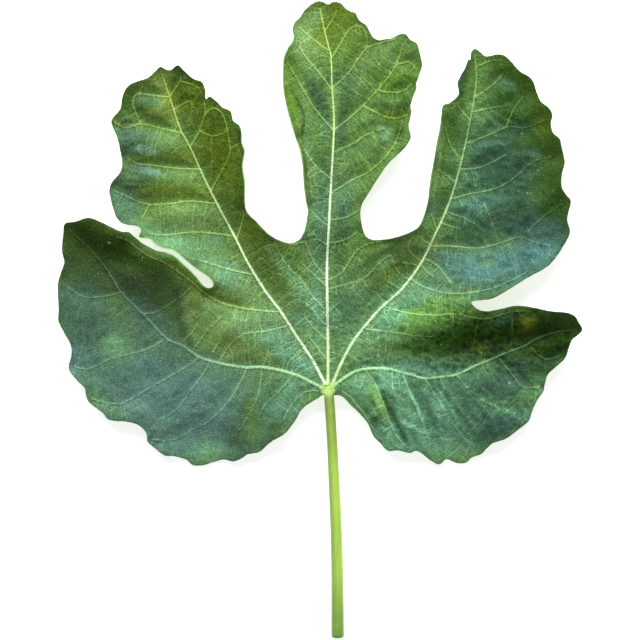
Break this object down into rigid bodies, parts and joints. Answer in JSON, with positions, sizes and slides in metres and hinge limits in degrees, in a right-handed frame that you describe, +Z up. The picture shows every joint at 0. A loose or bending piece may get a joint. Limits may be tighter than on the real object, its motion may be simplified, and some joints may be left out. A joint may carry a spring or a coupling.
{
  "type": "fig leaf",
  "caption": "Lobed fig leaf with a wavy toothed edge, palmate ribs, raised panels between side veins and a round cut stalk, lying face up.",
  "frame": {"origin": "middle of the leaf's box, stalk included, on the surface it lies on", "axes": "+Y from the stalk towards the tip of the middle lobe, +Z up out of the upper face, +X to the right of someone looking down on the upper face"},
  "size_m": [0.199, 0.2422, 0.0109],
  "materials": {
    "blade": "satin mid to dark green with pale yellow-green ribs and a fine raised vein net",
    "stalk": "smooth satin yellow-green, darker green at the cut"
  },
  "bodies": {
    "root": {"leaf_blade": "blade", "leaf_stalk": "stalk"}
  },
  "joints": []
}
